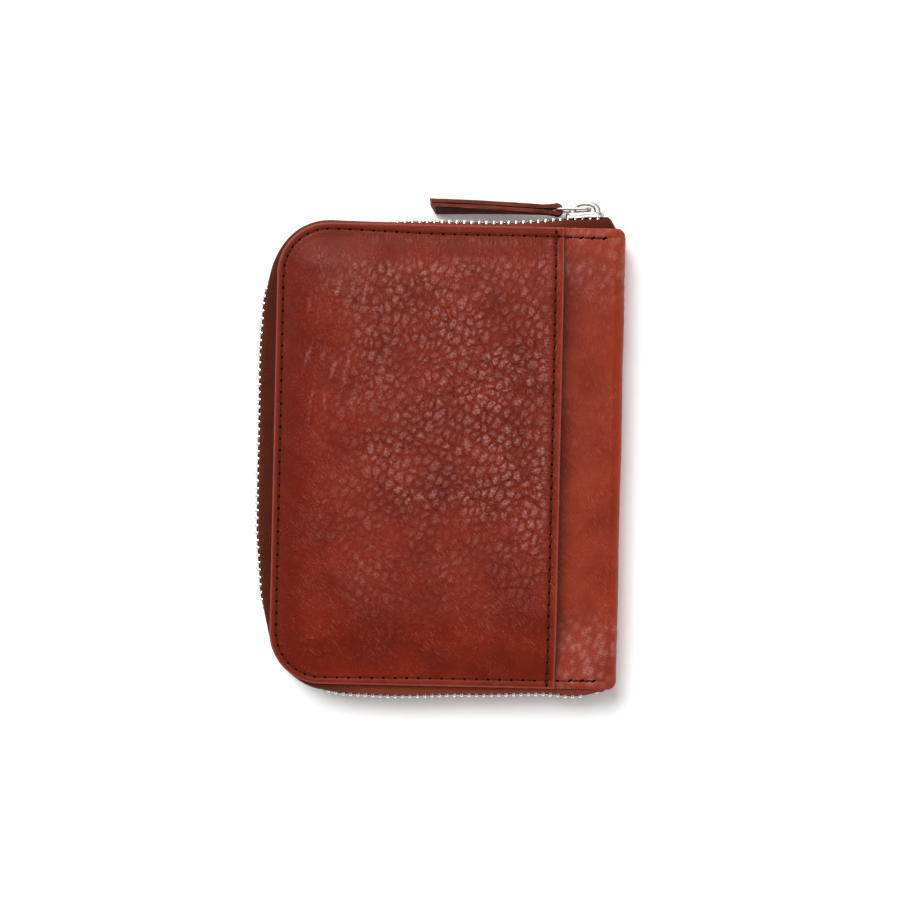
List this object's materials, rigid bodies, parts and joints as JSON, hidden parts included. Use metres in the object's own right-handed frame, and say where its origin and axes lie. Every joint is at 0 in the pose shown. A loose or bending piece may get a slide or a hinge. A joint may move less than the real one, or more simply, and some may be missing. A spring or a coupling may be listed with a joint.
{
  "type": "travel document organizer",
  "caption": "Zip-around leather travel document organizer with an outer slip pocket, card slots and document pockets inside, and a ring pull with a leather tab on the slider.",
  "frame": {"origin": "centre of the back cover's flat outer face", "axes": "+Z from the back cover to the front cover, +X towards the spine, +Y along the spine to the end where the closed zip's slider is"},
  "size_m": [0.1221, 0.1687, 0.0208],
  "materials": {
    "cover_leather": "semi-gloss grained",
    "pocket_leather": "smooth satin",
    "pull_leather": "worn satin",
    "board": "raw grey board",
    "lining": "fine woven",
    "thread": "waxed thread",
    "zip_tape": "woven tape",
    "zip_metal": "polished nickel plate",
    "slider_metal": "satin nickel plate"
  },
  "bodies": {
    "back": {"back_cover": "cover_leather", "back_board": "board", "back_lining": "lining", "back_stitching": "thread", "document_pocket": "pocket_leather", "ticket_pocket": "pocket_leather", "back_zip_tape": "zip_tape", "back_zip_teeth": "zip_metal", "back_top_stop": "zip_metal", "bottom_stop": "zip_metal"},
    "spine": {"spine_cover": "cover_leather", "spine_lining": "lining"},
    "front": {"front_cover": "cover_leather", "front_board": "board", "front_lining": "lining", "front_stitching": "thread", "slip_pocket": "cover_leather", "slip_pocket_stitching": "thread", "card_slot_1": "pocket_leather", "card_slot_2": "pocket_leather", "card_slot_3": "pocket_leather", "card_slot_4": "pocket_leather", "front_zip_tape": "zip_tape", "front_zip_teeth": "zip_metal", "front_top_stop": "zip_metal"},
    "slider": {"slider_body": "slider_metal", "slider_bridge": "slider_metal"},
    "ring": {"pull_ring": "slider_metal"},
    "pull": {"pull_tab": "pull_leather"}
  },
  "joints": [
    {"name": "spine_fold", "type": "hinge", "parent": "back", "child": "spine", "pos_m": [0.0585, 0, 0], "axis": [0, 1, 0], "range_deg": [0, 90]},
    {"name": "cover_fold", "type": "hinge", "parent": "spine", "child": "front", "pos_m": [0.0585, 0, 0.015], "axis": [0, 1, 0], "range_deg": [0, 90]},
    {"name": "slider_run", "type": "slide", "parent": "back", "child": "slider", "axis": [-0.9994, -0.0349, 0], "range_m": [0, 0.079], "deforming": ["back_zip_teeth", "front_zip_teeth"]},
    {"name": "ring_swing", "type": "hinge", "parent": "slider", "child": "ring", "pos_m": [0.04646, 0.08441, 0.0075], "axis": [0.061, 0.0021, -0.9981], "range_deg": [0, 120]},
    {"name": "tab_swing", "type": "hinge", "parent": "ring", "child": "pull", "pos_m": [0.03529, 0.08402, 0.00682], "axis": [0.061, 0.0021, -0.9981], "range_deg": [0, 75]}
  ]
}
